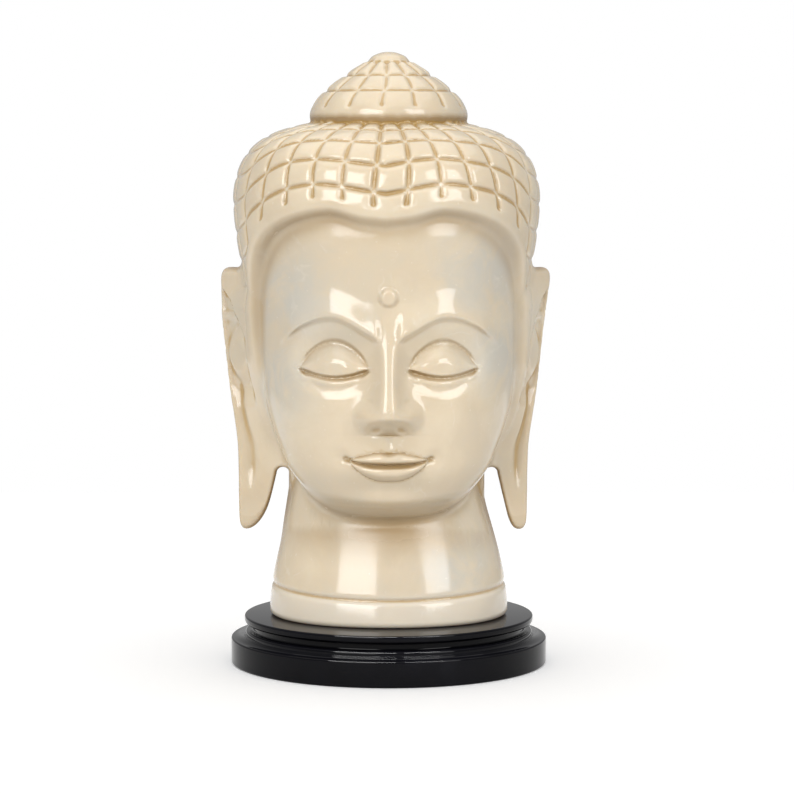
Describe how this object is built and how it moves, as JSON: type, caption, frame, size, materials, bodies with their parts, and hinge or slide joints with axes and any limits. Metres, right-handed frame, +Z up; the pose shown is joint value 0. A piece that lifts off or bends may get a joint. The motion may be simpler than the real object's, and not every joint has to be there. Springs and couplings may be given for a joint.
{
  "type": "stone buddha head on a plinth",
  "caption": "Carved stone Buddha head with a grooved curl cap, domed crown, long free-hanging ear lobes and a flared neck, standing on a turned round black plinth.",
  "frame": {"origin": "middle of the plinth's underside, on the surface that the ornament stands on", "axes": "+Z up through the crown, face looking along -Y, +X towards the head's left ear"},
  "size_m": [0.0688, 0.066, 0.127],
  "materials": {
    "cream_stone": "hand-polished cream soft stone, waxy and slightly translucent, with warm grooves and pale grey veins",
    "black_stone": "mirror-polished black stone, turned"
  },
  "bodies": {
    "root": {"buddha_head": "cream_stone", "plinth": "black_stone"}
  },
  "joints": []
}
